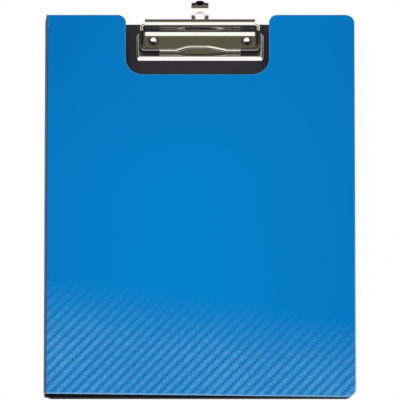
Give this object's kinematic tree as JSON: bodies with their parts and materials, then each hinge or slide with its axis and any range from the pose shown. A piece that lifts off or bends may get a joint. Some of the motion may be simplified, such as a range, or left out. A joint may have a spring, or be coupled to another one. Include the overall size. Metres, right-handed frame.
{
  "type": "clipboard folder",
  "caption": "A4 clipboard folder with a fold-over front cover, a spring wire clip at the head and a pull-out hanger with a round hole.",
  "frame": {"origin": "centre of the back board's rear face, where the closed folder rests", "axes": "+X along the width away from the spine, +Y along the height towards the clip, +Z out of the front cover"},
  "size_m": [0.233, 0.3359, 0.014],
  "materials": {
    "board_plastic": "fine grained black polypropylene",
    "spine_plastic": "fine grained black polypropylene",
    "cover_plastic": "satin blue polypropylene with a twill weave pattern that fades in towards the bottom",
    "lining_plastic": "fine grained black polypropylene",
    "pocket_film": "clear embossed film",
    "clip_plate": "bright nickel plating",
    "rivet_metal": "bright nickel plating",
    "washer_metal": "zinc plated",
    "bail_wire": "bright nickel plating",
    "guard_plastic": "soft black moulding",
    "hanger_metal": "bright nickel plating"
  },
  "bodies": {
    "board": {"back_board": "board_plastic", "clip_base_plate": "clip_plate", "rivets": "rivet_metal", "rivet_washers": "washer_metal"},
    "spine": {"spine_strip": "spine_plastic"},
    "cover": {"front_cover": "cover_plastic", "cover_lining": "lining_plastic", "inner_pocket": "pocket_film"},
    "bail": {"wire_bail": "bail_wire", "corner_guard_left": "guard_plastic", "corner_guard_right": "guard_plastic"},
    "hanger": {"hanger": "hanger_metal"}
  },
  "joints": [
    {"name": "spine_hinge", "type": "hinge", "parent": "board", "child": "spine", "pos_m": [-0.1153, 0, 0.00125], "axis": [0, -1, 0], "range_deg": [0, 180]},
    {"name": "cover_hinge", "type": "hinge", "parent": "spine", "child": "cover", "pos_m": [-0.1153, 0, 0.01325], "axis": [0, -1, 0], "range_deg": [0, 180]},
    {"name": "bail_hinge", "type": "hinge", "parent": "board", "child": "bail", "pos_m": [0, 0.1555, 0.007], "axis": [-1, 0, 0], "range_deg": [0, 90], "stiffness_Nm_per_rad": 0.25, "springref_deg": -45.84},
    {"name": "hanger_slide", "type": "slide", "parent": "board", "child": "hanger", "axis": [0, 1, 0], "range_m": [-0.0102, 0]}
  ]
}
